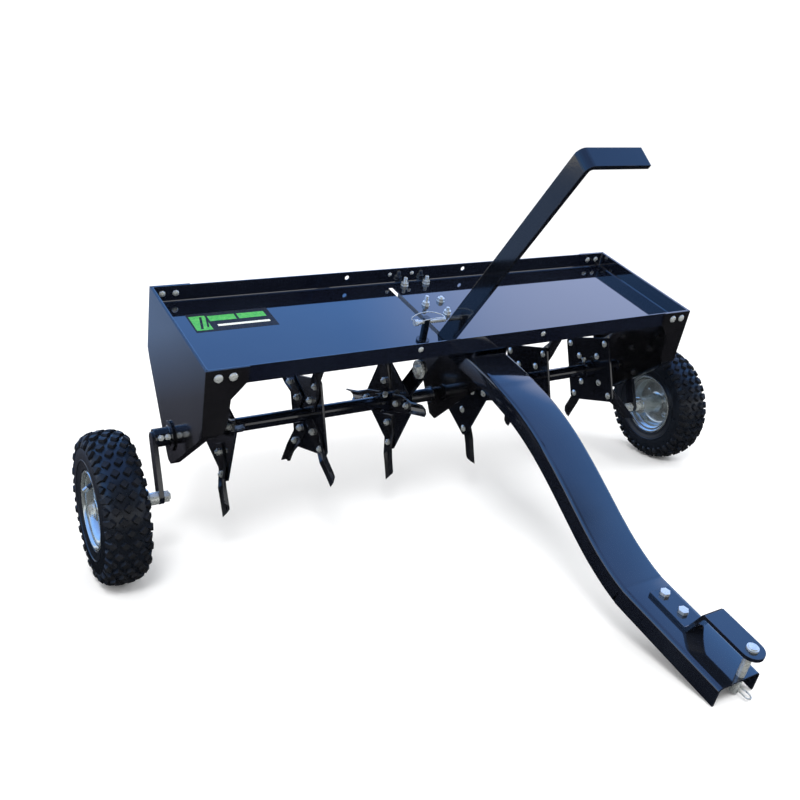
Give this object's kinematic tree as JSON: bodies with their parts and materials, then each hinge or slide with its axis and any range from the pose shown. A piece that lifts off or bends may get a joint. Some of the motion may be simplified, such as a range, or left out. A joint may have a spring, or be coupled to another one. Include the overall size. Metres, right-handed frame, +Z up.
{
  "type": "core aerator",
  "caption": "Tow-behind core aerator: weight tray over two spoon-tine rotors, lever-lifted wheels and a channel drawbar with clevis pin.",
  "frame": {"origin": "centre of the bounding box's base, on the ground under the machine", "axes": "+X across the machine towards its right wheel, -Y towards the tractor, +Z up; the machine stands nose-down on its tyres and the drawbar's front end"},
  "size_m": [1.31, 0.9772, 0.7298],
  "materials": {
    "tray_paint": "gloss black powder coat",
    "panel_paint": "satin black powder coat",
    "drawbar_paint": "gloss black powder coat",
    "lever_paint": "gloss black powder coat",
    "crank_paint": "gloss black powder coat",
    "star_paint": "gloss black powder coat",
    "tine_paint": "gloss black powder coat",
    "axle_steel": "bright drawn steel",
    "zinc_hardware": "bright zinc plate",
    "rim_zinc": "bright zinc plate",
    "tyre_rubber": "moulded tread, satin"
  },
  "bodies": {
    "machine": {"weight_tray": "tray_paint", "end_panel_left": "panel_paint", "end_panel_right": "panel_paint", "axle_bearing_left": "panel_paint", "axle_bearing_right": "panel_paint", "centre_hanger": "panel_paint", "tongue_riser": "drawbar_paint", "tongue": "drawbar_paint", "hitch_strap": "drawbar_paint", "hitch_bolt_rear": "zinc_hardware", "hitch_bolt_front": "zinc_hardware", "lock_post": "lever_paint"},
    "lift": {"lift_axle": "axle_steel", "lift_lever": "lever_paint", "lever_hub": "axle_steel", "lever_bolt": "zinc_hardware", "crank_left": "crank_paint", "crank_right": "crank_paint", "wheel_bolt_left": "zinc_hardware", "wheel_bolt_right": "zinc_hardware"},
    "wheel_left": {"tyre_left": "tyre_rubber", "rim_left": "rim_zinc"},
    "wheel_right": {"tyre_right": "tyre_rubber", "rim_right": "rim_zinc"},
    "rotor_left": {"rotor_tube_left": "star_paint", "star_plate_1": "star_paint", "star_plate_2": "star_paint", "star_plate_3": "star_paint", "tine_1_a": "tine_paint", "tine_1_b": "tine_paint", "tine_1_c": "tine_paint", "tine_1_d": "tine_paint", "tine_2_a": "tine_paint", "tine_2_b": "tine_paint", "tine_2_c": "tine_paint", "tine_2_d": "tine_paint", "tine_3_a": "tine_paint", "tine_3_b": "tine_paint", "tine_3_c": "tine_paint", "tine_3_d": "tine_paint"},
    "rotor_right": {"rotor_tube_right": "star_paint", "star_plate_4": "star_paint", "star_plate_5": "star_paint", "star_plate_6": "star_paint", "tine_4_a": "tine_paint", "tine_4_b": "tine_paint", "tine_4_c": "tine_paint", "tine_4_d": "tine_paint", "tine_5_a": "tine_paint", "tine_5_b": "tine_paint", "tine_5_c": "tine_paint", "tine_5_d": "tine_paint", "tine_6_a": "tine_paint", "tine_6_b": "tine_paint", "tine_6_c": "tine_paint", "tine_6_d": "tine_paint"},
    "pin": {"hitch_pin": "zinc_hardware"},
    "clip": {"hairpin_clip": "zinc_hardware"},
    "lock": {"lock_pin": "zinc_hardware"},
    "bail": {"pin_bail": "zinc_hardware"}
  },
  "joints": [
    {"name": "lift_lever_turn", "type": "hinge", "parent": "machine", "child": "lift", "pos_m": [0, 0.33387, 0.22612], "axis": [1, 0, 0], "range_deg": [-55, 0]},
    {"name": "wheel_left_spin", "type": "hinge", "parent": "lift", "child": "wheel_left", "pos_m": [-0.618, 0.30993, 0.128], "axis": [1, 0, 0], "continuous": true},
    {"name": "wheel_right_spin", "type": "hinge", "parent": "lift", "child": "wheel_right", "pos_m": [0.618, 0.30993, 0.128], "axis": [1, 0, 0], "continuous": true},
    {"name": "rotor_left_spin", "type": "hinge", "parent": "lift", "child": "rotor_left", "pos_m": [-0.278, 0.33387, 0.22612], "axis": [1, 0, 0], "continuous": true},
    {"name": "rotor_right_spin", "type": "hinge", "parent": "lift", "child": "rotor_right", "pos_m": [0.264, 0.33387, 0.22612], "axis": [1, 0, 0], "continuous": true},
    {"name": "hitch_pin_slide", "type": "slide", "parent": "machine", "child": "pin", "axis": [0, -0.2804, 0.9599], "range_m": [0, 0.018]},
    {"name": "hairpin_slide", "type": "slide", "parent": "pin", "child": "clip", "axis": [0, -0.9599, -0.2804], "range_m": [0, 0.02]},
    {"name": "lock_pin_slide", "type": "slide", "parent": "machine", "child": "lock", "axis": [1, 0, 0], "range_m": [-0.012, 0.0095]},
    {"name": "bail_turn", "type": "hinge", "parent": "lock", "child": "bail", "pos_m": [-0.112, 0.19169, 0.41326], "axis": [0, -0.9599, -0.2804], "range_deg": [0, 100]}
  ]
}
